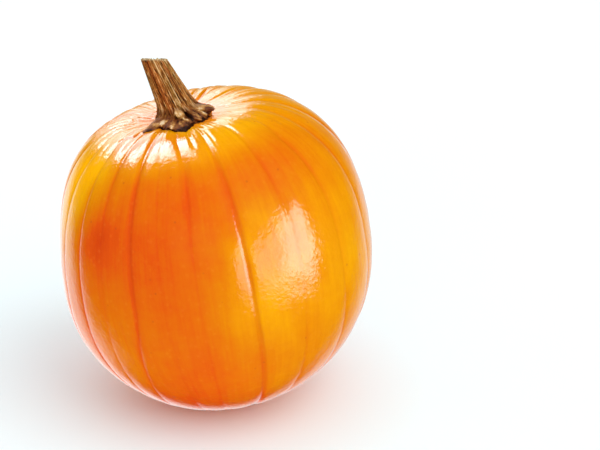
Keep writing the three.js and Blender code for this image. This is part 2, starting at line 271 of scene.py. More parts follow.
def furrowDepths(angle):  # three stated depths blended, fading out under the stem and at the blossom end
    nearStem = 1 - changed(angle, "stemDepth")
    nearBlossom = changed(angle, "blossomDepth")
    faded = changed(angle, "furrowStart") * changed(angle, "furrowEnd")
    share = np.stack([nearStem, 1 - nearStem - nearBlossom, nearBlossom], -1) * faded[..., None]
    return share @ furrows[:, 4:7].T


def fruitGrid():
    # Columns of points follow the furrows down the fruit and stand closer together beside them, and rings
    # stand closer together near the stem. Angles are in degrees.
    shape = fruitShape
    share = np.arange(1, shape["rings"]) / shape["rings"]
    angle = 180 * (share - shape["ringsToTop"] * np.sin(math.pi * share) * (1 - share))
    lines = furrowAzimuths(angle)
    lines = np.concatenate([lines, lines[:, :1] + 360], 1)
    step = np.arange(shape["columnsPerRib"]) / shape["columnsPerRib"]
    across = step - shape["crowding"] * np.sin(2 * math.pi * step) / (2 * math.pi)
    azimuth = lines[:, :-1, None] + (lines[:, 1:] - lines[:, :-1])[..., None] * across
    across = np.broadcast_to(across, azimuth.shape).reshape(len(angle), -1)
    return angle[:, None], azimuth.reshape(len(angle), -1), across


def carvedFurrows(angle, azimuth, arc):
    # depth * (slope + crease): the slope is a bell with its own width on each side, the crease a narrow bell.
    # Also returns how deep in a furrow each point is, for the painted shade down in the furrows.
    shape = fruitShape
    depths, lines = furrowDepths(angle[:, 0]), furrowAzimuths(angle[:, 0])
    width = shape["creaseByStem"] + (shape["crease"] - shape["creaseByStem"]) * changed(angle, "creaseWidth")
    carved, groove = 0, 0
    for k, (slopeBefore, slopeAfter) in enumerate(furrows[:, 7:]):
        away = signedDegrees(azimuth - lines[:, k:k + 1]) * arc
        depth = depths[:, k:k + 1]
        crease = bell(away / width)
        slope = bell(away / np.where(away < 0, slopeBefore, slopeAfter))
        carved = carved + depth * ((1 - shape["creaseShare"]) * slope + shape["creaseShare"] * crease)
        groove = groove + depth * (creaseShade["crease"] * crease + (1 - creaseShade["crease"]) * slope)
    return carved, groove


def carvedPuckers(angle, azimuth, arc):
    # depth * bell for the long crease half way between each two furrows and the short one on each side of it
    chance, limits = puckerChance, puckerLimits
    random = np.random.default_rng(chance["seed"])
    lines = furrowAzimuths(angle[:, 0])
    spacing = np.diff(np.concatenate([lines, lines[:, :1] + 360], 1), axis=1)
    carved = 0
    for k in range(len(furrows)):
        ribWidth = spacing[:, k:k + 1]
        for part, reach, deep, wide in puckers:
            place = part + random.uniform(-chance["place"], chance["place"])
            reach = reach + random.uniform(-chance["reach"], chance["reach"])
            depth = deep * random.uniform(*chance["depth"])
            depth = depth * ease((ribWidth - limits["narrowRib"]) / limits["fullSpan"])
            depth = depth * changed(angle, "puckerStart")
            depth = depth * (1 - ease((angle - reach + limits["fadeOut"]) / limits["fadeOut"]))
            away = signedDegrees(azimuth - (lines[:, k:k + 1] + place * ribWidth)) * arc
            carved = carved + depth * bell(away / wide)
    return carved


def carvedCracks(angle, azimuth, arc):
    carved = 0
    for startPolar, startAzimuth, endPolar, endAzimuth, depth, wide in cracks:
        along = (angle - startPolar) / (endPolar - startPolar)
        away = signedDegrees(azimuth - startAzimuth - (endAzimuth - startAzimuth) * along) * arc
        gape = ease(along / crackEnds[0]) * ease((1 - along) / crackEnds[1])
        carved = carved + depth * gape * bell(away / wide)
    return carved


slopeStep = 0.002  # radians to each side of a point, for the slope there


def buildFruit():
    # point = meridian + normal * (crown of the rib - furrows, puckers and cracks + unevenness and fine
    # waves), then swell, bow, lean and press
    shape = fruitShape
    angle, azimuth, across = fruitGrid()
    polar = np.radians(angle)
    r, z = meridian(polar)
    rAbove, zAbove = meridian(polar - slopeStep)
    rBelow, zBelow = meridian(polar + slopeStep)
    normal = np.stack([zAbove - zBelow, rBelow - rAbove], -1)
    normal /= np.linalg.norm(normal, axis=-1, keepdims=True)

    arc = r * math.radians(1)
    furrowed, furrowGroove = carvedFurrows(angle, azimuth, arc)
    puckered = carvedPuckers(angle, azimuth, arc)
    cracked = carvedCracks(angle, azimuth, arc)
    midway = 2 * np.minimum(across, 1 - across)
    crown = shape["crown"] * np.sin(polar) * (1 - (1 - midway) ** shape["crownPower"])
    direction = outward(angle, azimuth)
    uneven = patches(direction, unevenness)
    pleated = changed(angle, "pleatStart") * (1 - changed(angle, "pleatEnd"))

    out = crown - furrowed - puckered - cracked + uneven
    out = out + wavesRound(azimuth, polar, *pleats) * pleated
    out = out + wavesRound(azimuth, polar, *ripples) * np.sin(polar) ** 2
    reach = np.maximum(0, r + normal[..., 0] * out) * (1 + shape["swell"] * np.cos(np.radians(azimuth)))
    up = z + normal[..., 1] * out
    x = reach * np.cos(np.radians(azimuth)) + shape["bow"] * up ** 2 / shape["radius"]
    y = reach * np.sin(np.radians(azimuth))
    points = leaned(np.stack([x, y, up], -1))
    endHeights = np.array([float(rindHeight(0, 0)), shape["blossomHollow"][0] - shape["halfHeight"]])
    bowed = shape["bow"] * endHeights ** 2 / shape["radius"]
    ends = leaned(np.stack([bowed, 0 * bowed, endHeights], -1))

    # pressed flat below
    floorHeight = points[..., 2].min() + shape["pressed"]
    blend = shape["footBlend"]
    for array in (points, ends):
        above = array[..., 2] - floorHeight
        soft = floorHeight + np.square(above + blend) / (4 * blend)
        array[..., 2] = np.where(above > blend, array[..., 2], np.where(above < -blend, floorHeight, soft))

    # the growth frame's origin in the row frame, so that the fruit stands where the frame has it
    low, high = (np.array(corner) * 1000 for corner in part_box("fruit"))
    middle = (points.reshape(-1, 3).min(0) + points.reshape(-1, 3).max(0)) / 2
    origin = np.array([*((low + high) / 2 - middle)[:2], -floorHeight])
    ripeAndLit = plainRipeness + patches(direction, ripenessAndPaintedLight)
    turned = np.radians(azimuth)
    streak = np.stack([np.cos(turned), np.sin(turned), shape["streakTurn"] * polar + 0 * azimuth], -1)
    # painted shade: how deep a point is in a furrow, pucker or crack darkens its colour, less beside the stem
    groove = furrowGroove + creaseShade["pucker"] * puckered
    groove = groove * (creaseShade["byStem"] + (1 - creaseShade["byStem"]) * changed(angle, "grooveShade")) + cracked
    # painted light: a lift of the colour round the stem's foot, where the stem's shade falls
    paintedLightByStem = 1 - changed(angle, "paintedLightByStem") + 0 * azimuth
    attributes = {"groove": groove, "ripeAndLit": ripeAndLit, "streak": streak, "paintedLightByStem": paintedLightByStem}
    piece = stackMesh("pumpkin_rind", ends[0] + origin, points + origin, ends[1] + origin, attributes)
    return piece, origin


rind, growthOrigin = buildFruit()
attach(rind, "root")
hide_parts("fruit")
print("rind:", len(rind.data.polygons), "faces")


# fruit: rind material

rindLook = {
    "deepRed": "#cc3e08", "red": "#d84e08", "orange": "#da7800", "golden": "#eaa000", "yellow": "#fbae00",
    "paintedLightByStem": "#ff8a1c", "speck": "#ffc04a", "dot": "#b8481a",
    "furrowShade": 0.38, "deepest": 0.7, "mottle": 0.56, "striping": 0.36, "streakFrequency": 34,
    "toneRange": (-0.35, 1.3), "coatRoughness": 0.11, "dotShare": 0.5, "speckShare": 0.05,
    # in millimetres
    "blotchWidth": 25, "speckSpacing": 6, "dotSpacing": 15, "poreSpacing": 3.2, "poreDepth": 0.42,
}


def rindMaterial():
    # Waxy plant cuticle over ripe orange flesh, grown smooth: a clear sharp gloss over a saturated matte
    # colour, faintly pitted, blotched from red-orange to golden partly by ripening and partly as painted
    # light and shade, with painted shade in a darker red down in the furrows and a painted light round the
    # stem's foot, where the stem's shade falls.
    look = rindLook
    material, tree = newMaterial("waxy pumpkin rind")
    place = addNode(tree, "ShaderNodeTexCoord").outputs["Object"]
    ripeAndLit, groove, paintedLightByStem = (addNode(tree, "ShaderNodeAttribute", {"attribute_name": name}).outputs["Fac"]
                            for name in ("ripeAndLit", "groove", "paintedLightByStem"))
    along = addNode(tree, "ShaderNodeAttribute", {"attribute_name": "streak"}).outputs["Vector"]

    # ripeness and painted light + blotches + stripes down the fruit - painted shade down in a furrow
    blotch = addNode(tree, "ShaderNodeTexNoise",
                     {"Scale": 1000 / look["blotchWidth"], "Detail": 8, "Roughness": 0.78}, {"Vector": place})
    streak = addNode(tree, "ShaderNodeTexNoise",
                     {"Scale": look["streakFrequency"], "Detail": 4, "Roughness": 0.6}, {"Vector": along})
    mottle = addNode(tree, "ShaderNodeMath",
                     {"operation": "MULTIPLY_ADD", 1: look["mottle"], 2: -look["mottle"] / 2},
                     {0: blotch.outputs["Fac"]})
    stripe = addNode(tree, "ShaderNodeMath",
                     {"operation": "MULTIPLY_ADD", 1: look["striping"], 2: -look["striping"] / 2},
                     {0: streak.outputs["Fac"]})
    uneven = addNode(tree, "ShaderNodeMath", {"operation": "ADD"},
                     {0: mottle.outputs[0], 1: stripe.outputs[0]})
    tone = addNode(tree, "ShaderNodeMath", {"operation": "ADD"}, {0: ripeAndLit, 1: uneven.outputs[0]})
    inGroove = addNode(tree, "ShaderNodeMath", {"operation": "MINIMUM", 1: look["deepest"]}, {0: groove})
    creaseShaded = addNode(tree, "ShaderNodeMath", {"operation": "MULTIPLY_ADD", 1: -look["furrowShade"]},
                    {0: inGroove.outputs[0], 2: tone.outputs[0]})
    least, most = look["toneRange"]
    toned = addNode(tree, "ShaderNodeMapRange", {"From Min": least, "From Max": most},
                      {"Value": creaseShaded.outputs[0]})
    colour = addNode(tree, "ShaderNodeValToRGB", None, {"Fac": toned.outputs[0]})
    setRamp(colour, [(0, look["deepRed"]), (0.21, look["red"]), (0.51, look["orange"]),
                     (0.82, look["golden"]), (1, look["yellow"])])
    # painted light round the stem's foot, against the stem's shade there
    paintedLightLifted = addNode(tree, "ShaderNodeMix", {"data_type": "RGBA", 7: linearColour(look["paintedLightByStem"])},
                      {0: paintedLightByStem, 6: colour.outputs[0]})

    # pale lenticel specks and a few small dark dots
    cells = addNode(tree, "ShaderNodeTexVoronoi", {"Scale": 1000 / look["speckSpacing"]}, {"Vector": place})
    specks = addNode(tree, "ShaderNodeMapRange",
                     {"From Min": 0.05, "From Max": 0.3, "To Min": look["speckShare"], "To Max": 0},
                     {"Value": cells.outputs["Distance"]})
    speckled = addNode(tree, "ShaderNodeMix", {"data_type": "RGBA", 7: linearColour(look["speck"])},
                       {0: specks.outputs[0], 6: paintedLightLifted.outputs[2]})
    spots = addNode(tree, "ShaderNodeTexVoronoi", {"Scale": 1000 / look["dotSpacing"]}, {"Vector": place})
    dots = addNode(tree, "ShaderNodeMapRange",
                   {"From Min": 0.03, "From Max": 0.08, "To Min": look["dotShare"], "To Max": 0},
                   {"Value": spots.outputs["Distance"]})
    dotted = addNode(tree, "ShaderNodeMix", {"data_type": "RGBA", 7: linearColour(look["dot"])},
                     {0: dots.outputs[0], 6: speckled.outputs[2]})

    pores = addNode(tree, "ShaderNodeTexNoise", {"Scale": 1000 / look["poreSpacing"], "Detail": 2},
                    {"Vector": place})
    pitted = addNode(tree, "ShaderNodeBump", {"Strength": 0.6, "Distance": look["poreDepth"] / 1000},
                     {"Height": pores.outputs["Fac"]})
    shader = addNode(tree, "ShaderNodeBsdfPrincipled",
                     {"Roughness": 0.5, "Specular IOR Level": 0.0, "Coat Weight": 1.0,
                      "Coat Roughness": look["coatRoughness"], "Coat IOR": 1.5},
                     {"Base Color": dotted.outputs[2], "Normal": pitted.outputs[0],
                      "Coat Normal": pitted.outputs[0]})
    addNode(tree, "ShaderNodeOutputMaterial", None, {"Surface": shader.outputs[0]})
    return material


rind.data.materials.append(rindMaterial())


# stem: shape

stemShape = {
    "height": 52.5, "cutRadius": 8.5, "neckRadius": 15, "tilt": 16, "offset": (5.5, -4),
    "cutSlope": 20, "slantStretch": 0.1, "levelUpTo": 0.15, "seatHeight": 12, "spread": (7.5, 7), "sunk": 4,
    "ridgeWidth": 11, "ridgeSunk": 0.06, "ridgeRise": (-1, 11), "twist": 10, "cleftEnd": 0.15,
    "gnarled": (2, 10), "tuckDepth": 3.0, "tuckHeight": 2.2,
    "dish": 1.4, "dishWall": 0.7, "cutFace": (0.06, 0.95), "raggedBelow": 0.4, "paleRim": 2.2,
    # how pithy the cut is in its middle, how much less at its rim, and how far the pattern of the fibres runs
    # over the cut, as a share of its run down the side, and down the side
    "pithInside": 1.4, "pithLoss": 0.8, "fibresOverCut": 0.25, "fibresDown": 0.5,
    "rings": 150, "ringsToFoot": 1.5, "around": 560, "cutRings": 14,
}
# uneven growth round the stem: seed, how many waves, crests round it from and to, drift, height
stemWaves = {
    "coarseFibres": (11, 16, (16, 45), 4, 0.016), "fineFibres": (12, 22, (50, 120), 9, 0.008),
    "lumps": (13, 20, (5, 26), 0.9, 0.45), "smallLumps": (14, 20, (24, 60), 2.2, 0.3),
    "raggedRim": (17, 14, (5, 60), 0, 0.45), "rays": (19, 16, (8, 50), 0, 0.18),
}
# how much each form counts in the relief that the colour follows, partly the wood's own wear and partly
# painted shade in sunk places and painted highlight on raised ones; knobs and lumps are divided by their
# sizes, and what is on the foot fades out over its height
reliefOf = {"cleft": 1.5, "fibre": 3, "knobSize": 9, "lumpSize": 3, "crest": 0.7, "footHeight": 15}
# azimuth, height as a share of the radius
ridges = [
    (8, 0.1), (47, 0.12), (85, 0.08), (131, 0.12), (176, 0.1), (216, 0.14), (252, 0.1), (290, 0.13),
    (327, 0.1),
]
# azimuth, depth as a share of the radius, half width in degrees, and the shares of the height where it starts
# and ends
clefts = [
    (224, 0.05, 2.0, 0.3, 1.1), (240, 0.15, 3.2, 0.22, 1.1), (254, 0.04, 1.6, 0.3, 1.1),
    (268, 0.09, 2.2, 0.2, 1.1), (275, 0.06, 1.3, 0.2, 0.85), (281, 0.06, 1.3, 0.24, 0.8),
    (290, 0.05, 1.6, 0.3, 1.1), (299, 0.08, 2.2, 0.24, 1.1), (313, 0.1, 3.0, 0.26, 0.85),
    (326, 0.05, 2.0, 0.4, 1.1), (342, 0.08, 4, 0.3, 1.1), (197, 0.07, 4, 0.3, 1.1),
    (28, 0.12, 5, 0.3, 1.1), (66, 0.1, 5, 0.25, 1.1), (108, 0.12, 5, 0.3, 1.1), (154, 0.12, 5, 0.25, 1.1),
]
# the roots of the foot: azimuth, reach, height, half width in degrees, bluntness
roots = [(355, 3, 9.5, 18, 6), (57, 4, 5, 22, 1.2), (112, 3, 6, 24, 1.6), (170, 1, 7, 26, 1.6),
         (221, 18.5, 4.4, 9, 1.1), (246, 9.5, 6, 20, 2.2), (266, 10, 6, 20, 2.4), (273, 10.5, 3.6, 10, 2),
         (299, 5.5, 6, 17, 2.2), (318, 3.5, 7, 18, 2)]
# the worn top of a root longer than this, whole where it is longer still by the span; its width is a share
# of the root's
crest = {"longerThan": 8, "span": 8, "width": 0.3}
# domed knobs and hollows: azimuth, height above the foot, how far it stands out, half width in degrees, half
# height
knobs = [
    (273, 10, 6, 13, 4), (278, 4.5, 2, 11, 3.6), (290, 7.5, -4.5, 6, 3.6), (299, 4.5, 3.4, 8, 3.6),
    (306, 10, 1.8, 10, 5), (257, 4, 1.8, 9, 3.4), (246, 7, -1.4, 6, 4), (236, 4, 2.6, 9, 3.2),
    (219, 4.5, 2, 7, 3), (264, 6.5, -1.6, 6, 3), (325, 6, 1.6, 11, 4.5), (338, 9, 1.4, 11, 4),
    (351, 0, -3.5, 17, 3), (22, 5, 1.8, 12, 4), (75, 6, 2, 12, 4), (100, 4, 1.8, 10, 4),
    (140, 6, 2, 13, 4),
]
# stub of a side shoot that broke off above the root, with a ringed scar on its end: the width is in degrees
sideShoot = {"azimuth": 341, "up": 8.0, "out": 7.6, "width": 16, "high": 4.7, "bluntness": 0.28}
scar = {"azimuth": 330, "up": 6.6, "radius": 3.7, "disc": 0.82, "discEdge": 0.85, "ring": 0.95, "soft": 0.2}
# paler or darker places on the wood, partly its own wear and lichen and partly painted light and shade:
# painted shade down the stem's left side, under the foot, all round where it meets the rind and in the hollow
# beside the big knob, and a painted pale top on that knob; azimuth, height, half width in degrees, half
# height, change
weatheringAndPaintedLight = [
    (214, 44, 13, 20, -0.2), (270, 46, 9, 16, 0.18), (281, 30, 6, 12, 0.07), (240, 40, 8, 14, 0.08),
    (338, 12, 22, 9, -0.12), (236, 4.5, 8, 2.4, 0.85), (271, 12, 8, 2.6, 0.5), (274, 1, 12, 1.6, -0.3),
    (333, 9, 18, 5.5, 0.5), (318, 4, 9, 4, 0.1), (292, 6, 7, 4, -0.35),
    # painted contact shade
    (0, 0, 3600, 1.3, -0.4),  # all round, where the foot meets the rind
]
russetSide = {"azimuth": 248, "width": 22}


def stemSide(azimuth, up):
    # radius = straight taper * (1 + ridges - clefts + fibres) + flare + roots + knobs + side shoot + lumps
    # - tuck below, carried up a tilted line, its rings turned from the rind's slope to the slope of the cut.
    # Also returns a relief for the colour, which is higher where the wood is raised and worn and lower where
    # it is
    # sunk: partly the wood's own wear, partly painted highlight and shade.
    shape = stemShape
    share = up / shape["height"]
    turned = azimuth + shape["twist"] * share
    plain = shape["neckRadius"] + (shape["cutRadius"] - shape["neckRadius"]) * share
    ridged = sum(height * bell(signedDegrees(azimuth - at) / shape["ridgeWidth"]) for at, height in ridges)
    cleft = 0
    for at, depth, wide, low, high in clefts:
        gaping = ease((share - low) / shape["cleftEnd"]) * ease((high - share) / shape["cleftEnd"])
        cleft = cleft + depth * gaping * bell(signedDegrees(turned - at) / wide)
    fibre = (wavesRound(turned, share, *stemWaves["coarseFibres"])
             + wavesRound(turned, share, *stemWaves["fineFibres"]))
    reach, fall = shape["spread"]
    grip, crested = 0, 0
    for at, length, high, wide, blunt in roots:
        fallen = np.exp(-((up / high) ** blunt))
        away = signedDegrees(azimuth - at)
        grip = grip + length * fallen * bell(away / wide)
        longRoot = ease((length - crest["longerThan"]) / crest["span"])
        crested = crested + longRoot * fallen * bell(away / (crest["width"] * wide))
    knob = 0
    for at, level, out, wide, high in knobs:
        apart = (signedDegrees(azimuth - at) / wide) ** 2 + ((up - level) / high) ** 2
        knob = knob + out * np.sqrt(np.maximum(0, 1 - apart))
    middle, spread = shape["gnarled"]
    gnarled = wavesRound(azimuth, up, *stemWaves["lumps"]) + wavesRound(azimuth, up, *stemWaves["smallLumps"])
    gnarled = gnarled * bell((up - middle) / spread)
    tuck = shape["tuckDepth"] * bell(up / shape["tuckHeight"])
    start, span = shape["ridgeRise"]
    worn = ease((up - start) / span)
    r = plain * (1 + (ridged - shape["ridgeSunk"]) * worn - cleft + fibre) + reach * np.exp(-up / fall)
    apart = (signedDegrees(azimuth - sideShoot["azimuth"]) / sideShoot["width"]) ** 2
    apart = apart + ((up - sideShoot["up"]) / sideShoot["high"]) ** 2
    shoot = sideShoot["out"] * np.maximum(0, 1 - apart) ** sideShoot["bluntness"]
    r = r + grip + knob + shoot + gnarled - tuck
    likeCut = ease((share - shape["levelUpTo"]) / (1 - shape["levelUpTo"]))
    acrossX = r * np.cos(np.radians(azimuth)) * (1 + shape["slantStretch"] * likeCut)
    acrossY = r * np.sin(np.radians(azimuth))
    tilt = math.radians(shape["tilt"])
    x = shape["offset"][0] - up * math.sin(tilt) + acrossX
    y = shape["offset"][1] + acrossY
    slopeX, slopeY = math.tan(math.radians(fruitShape["lean"])), math.tan(math.radians(shape["cutSlope"]))
    levelled = -(acrossX * slopeX + acrossY * slopeY) * likeCut
    seated = (rindHeight(x, y) - rindHeight(0, 0)) * bell(up / shape["seatHeight"])
    z = up * math.cos(tilt) + levelled + seated

    onStalk = ridged - shape["ridgeSunk"] - reliefOf["cleft"] * cleft + reliefOf["fibre"] * fibre
    onFoot = knob / reliefOf["knobSize"] + gnarled / reliefOf["lumpSize"] + reliefOf["crest"] * crested
    relief = onStalk * worn + onFoot * bell(up / reliefOf["footHeight"])
    relief = relief + sum(change * bell(signedDegrees(azimuth - at) / wide) * bell((up - level) / high)
                          for at, level, wide, high, change in weatheringAndPaintedLight)
    return np.stack([x, y, z], -1), relief


def buildStem():
    # Rings run from the middle of the cut face out to its rim, down the side and into the rind.
    shape = stemShape
    azimuth = np.arange(shape["around"]) * 360 / shape["around"]
    fromFoot = 1 - np.arange(shape["rings"]) / (shape["rings"] - 1)
    up = (shape["height"] * fromFoot ** shape["ringsToFoot"])[:, None]
    side, relief = stemSide(azimuth + 0 * up, up + 0 * azimuth)
    ragged = wavesRound(azimuth, 0 * azimuth, *stemWaves["raggedRim"])
    side[0, :, 2] += ragged
    side[1, :, 2] += shape["raggedBelow"] * ragged
    coreTop = float(rindHeight(0, 0))
    coreEnd = np.array([fruitShape["bow"] * coreTop ** 2 / fruitShape["radius"], 0, coreTop])

    # the cut face sinks inside its rim, with the pith lowest
    inward = np.linspace(*shape["cutFace"], shape["cutRings"])[:, None, None]
    middle = side[0].mean(0)
    face = middle + (side[0] - middle) * inward
    rays = wavesRound(azimuth, 0 * azimuth, *stemWaves["rays"])[:, None]
    face[..., 2] -= (shape["dish"] * ease((1 - inward) / shape["dishWall"]) + rays * inward)[..., 0]
    foot = side[-1:] - np.array([0, 0, shape["sunk"]])
    points = np.concatenate([face, side, foot]) + coreEnd

    count = len(face)
    level = np.concatenate([np.full((count, 1), 1.0), up / shape["height"], [[0]]]) + 0 * azimuth
    paleRim = 1 - ease((shape["height"] - up) / shape["paleRim"])
    pithy = shape["pithInside"] - shape["pithLoss"] * inward[..., 0]
    cut = np.concatenate([pithy, paleRim, [[0]]]) + 0 * azimuth
    turned = np.radians(azimuth + shape["twist"] * level)
    scarMiddle = stemSide(scar["azimuth"], scar["up"])[0] + coreEnd
    fromScar = np.linalg.norm(points - scarMiddle, axis=-1) / scar["radius"]
    disc = scar["disc"] * (1 - ease((fromScar - scar["discEdge"]) / scar["soft"]))
    scarred = np.maximum(disc, bell((fromScar - scar["ring"]) / scar["soft"]))
    overCut = level[:count] + shape["fibresOverCut"] * inward[..., 0]
    lengthwise = shape["fibresDown"] * np.concatenate([overCut, level[count:]])
    attributes = {
        "relief": np.concatenate([np.zeros((count, 1)) + relief[:1], relief, relief[-1:]]),
        "level": level, "cut": cut, "scar": scarred,
        "russet": bell(signedDegrees(np.degrees(turned) - russetSide["azimuth"]) / russetSide["width"]),
        "fibre": np.stack([np.cos(turned), np.sin(turned), lengthwise], -1),
    }
    top, bottom = points[0].mean(0), coreEnd - np.array([0, 0, shape["sunk"]])
    return stackMesh("dried_stem", leaned(top) + growthOrigin, leaned(points) + growthOrigin,
                     leaned(bottom) + growthOrigin, attributes)


stem = buildStem()
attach(stem, "root")
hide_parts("stem")
print("stem:", len(stem.data.polygons), "faces")


# stem: material

stemLook = {
    "cleft": "#2f1709", "brown": "#784415", "tan": "#a2652a", "straw": "#be8843", "bleachedAndLit": "#e2bc88",
    "moss": "#6d5f2c", "russet": "#a4551d", "reddened": "#ffd8b0", "hollow": "#2c0f03", "foot": "#6d350f",
    "lichenAndHighlight": "#e2cba2", "scar": "#4e1306", "pith": "#ead3a4", "pithDark": "#8a6236",
    "mossShare": 0.55, "rustShare": 0.6, "footShare": 0.95, "footUpTo": (0.32, 0.2),
    "fibreFrequency": 19, "bandWidth": 5, "stainWidth": 3.5,  # round the stem, widths in fibres
    "lump": 5, "grainDepth": 0.7,  # in millimetres
    "grainFrequency": 900,  # per metre
}


def stemMaterial():
    # Dried woody stalk of coarse fibres, weathered: dull, paler on the raised ridges and dark down in the
    # clefts, partly as bleaching and partly as painted highlight and shade, russet and mossy in streaks,
    # nearly black at the foot, partly its own colour and partly painted shade, and a pale pithy face where it
    # was cut.
    look = stemLook
    material, tree = newMaterial("dried woody stem")
    place = addNode(tree, "ShaderNodeTexCoord").outputs["Object"]
    relief, level, cut, stripe, bruised = (
        addNode(tree, "ShaderNodeAttribute", {"attribute_name": name}).outputs["Fac"]
        for name in ("relief", "level", "cut", "russet", "scar"))
    along = addNode(tree, "ShaderNodeAttribute", {"attribute_name": "fibre"}).outputs["Vector"]

    # fibres + broad bands + relief, from dark and sunk to bleached and worn, with painted shade in the sunk
    # places and painted highlight on the raised ones
    frequency = look["fibreFrequency"]
    fibres = addNode(tree, "ShaderNodeTexNoise", {"Scale": frequency, "Detail": 5, "Roughness": 0.7},
                     {"Vector": along}).outputs["Fac"]
    bands = addNode(tree, "ShaderNodeTexNoise", {"Scale": frequency / look["bandWidth"], "Detail": 3},
                    {"Vector": along}).outputs["Fac"]
    sharp = addNode(tree, "ShaderNodeMath", {"operation": "MULTIPLY_ADD", 1: 1.9, 2: -0.45}, {0: fibres})
    raised = addNode(tree, "ShaderNodeMath", {"operation": "MULTIPLY_ADD", 1: 1.3},
                     {0: relief, 2: sharp.outputs[0]})
    worn = addNode(tree, "ShaderNodeMath", {"operation": "MULTIPLY_ADD", 1: 0.5},
                   {0: bands, 2: raised.outputs[0]})
    wood = addNode(tree, "ShaderNodeValToRGB", None, {"Fac": worn.outputs[0]})
    setRamp(wood, [(0.5, look["cleft"]), (0.61, look["brown"]), (0.75, look["tan"]), (0.88, look["straw"]),
                   (1.0, look["bleachedAndLit"])])

    # moss where the stains are high, rust where they are low, and one russet side
    stains = addNode(tree, "ShaderNodeTexNoise",
                     {"noise_dimensions": "4D", "W": 4, "Detail": 3, "Scale": frequency / look["stainWidth"]},
                     {"Vector": along}).outputs["Fac"]
    mossy = addNode(tree, "ShaderNodeMapRange",
                    {"From Min": 0.52, "From Max": 0.68, "To Max": look["mossShare"]}, {"Value": stains})
    mossed = addNode(tree, "ShaderNodeMix", {"data_type": "RGBA", 7: linearColour(look["moss"])},
                     {0: mossy.outputs[0], 6: wood.outputs[0]})
    rusty = addNode(tree, "ShaderNodeMapRange",
                    {"From Min": 0.48, "From Max": 0.34, "To Max": look["rustShare"]}, {"Value": stains})
    rusted = addNode(tree, "ShaderNodeMix", {"data_type": "RGBA", 7: linearColour(look["russet"])},
                     {0: rusty.outputs[0], 6: mossed.outputs[2]})
    reddened = addNode(tree, "ShaderNodeMix",
                       {"data_type": "RGBA", "blend_type": "MULTIPLY", 7: linearColour(look["reddened"])},
                       {0: stripe, 6: rusted.outputs[2]})

    # the foot: dark brown lumps, nearly black between them as painted shade, pale on their tops partly as
    # lichen and partly as painted highlight, and a russet scar
    highest, lowest = look["footUpTo"]
    # the lowest part of the stem takes the dark foot colours: partly its own colour, partly painted shade
    # down in the rind's hollow
    footward = addNode(tree, "ShaderNodeMapRange",
                       {"From Min": highest, "From Max": lowest, "To Max": look["footShare"]},
                       {"Value": level})
    crumbs = addNode(tree, "ShaderNodeTexNoise",
                     {"Scale": 1000 / look["lump"], "Detail": 4, "Roughness": 0.65},
                     {"Vector": place}).outputs["Fac"]
    lumpy = addNode(tree, "ShaderNodeMath", {"operation": "MULTIPLY_ADD", 1: 0.45}, {0: relief, 2: crumbs})
    footColour = addNode(tree, "ShaderNodeValToRGB", None, {"Fac": lumpy.outputs[0]})
    setRamp(footColour, [(0.38, look["hollow"]), (0.5, look["foot"]), (0.62, look["brown"]),
                         (0.77, look["straw"]), (0.9, look["lichenAndHighlight"])])
    footed = addNode(tree, "ShaderNodeMix", {"data_type": "RGBA"},
                     {0: footward.outputs[0], 6: reddened.outputs[2], 7: footColour.outputs[0]})
    scarred = addNode(tree, "ShaderNodeMix", {"data_type": "RGBA", 7: linearColour(look["scar"])},
                      {0: bruised, 6: footed.outputs[2]})

    pith = addNode(tree, "ShaderNodeValToRGB", None, {"Fac": fibres})
    setRamp(pith, [(0.35, look["pithDark"]), (0.6, look["pith"])])
    whole = addNode(tree, "ShaderNodeMix", {"data_type": "RGBA", "clamp_factor": True},
                    {0: cut, 6: scarred.outputs[2], 7: pith.outputs[0]})

    rough = addNode(tree, "ShaderNodeTexNoise", {"Scale": look["grainFrequency"], "Detail": 3},
                    {"Vector": place}).outputs["Fac"]
    height = addNode(tree, "ShaderNodeMath", {"operation": "MULTIPLY_ADD", 1: 0.3}, {0: rough, 2: fibres})
    grained = addNode(tree, "ShaderNodeBump", {"Strength": 0.8, "Distance": look["grainDepth"] / 1000},
                      {"Height": height.outputs[0]})
    shader = addNode(tree, "ShaderNodeBsdfPrincipled", {"Roughness": 0.6, "Specular IOR Level": 0.1},
                     {"Base Color": whole.outputs[2], "Normal": grained.outputs[0]})
    addNode(tree, "ShaderNodeOutputMaterial", None, {"Surface": shader.outputs[0]})
    return material


stem.data.materials.append(stemMaterial())


# stage: floor, light and camera

stage = {
    "floorSize": 80, "floorColour": "#e8f6f9", "skyColour": "#ffffff",
    "skyLight": 1.0, "glossLeft": 1.35, "glossRight": 0.9, "glossFront": 0.008, "glossHighColour": "#fff0a8",
}


def buildFloor():
    mesh = bpy.data.meshes.new("floor")
    half = stage["floorSize"] / 2
    corners = [(-half, -half, 0), (half, -half, 0), (half, half, 0), (-half, half, 0)]
    mesh.from_pydata(corners, [], [(0, 1, 2, 3)])
    floor = bpy.data.objects.new("floor", mesh)
    bpy.context.collection.objects.link(floor)
    material, tree = newMaterial("matte white floor")
    shader = addNode(tree, "ShaderNodeBsdfDiffuse", {"Color": linearColour(stage["floorColour"])})
    addNode(tree, "ShaderNodeOutputMaterial", None, {"Surface": shader.outputs[0]})
    mesh.materials.append(material)
    floor.visible_glossy = False  # the wax shows only the sky and the panels


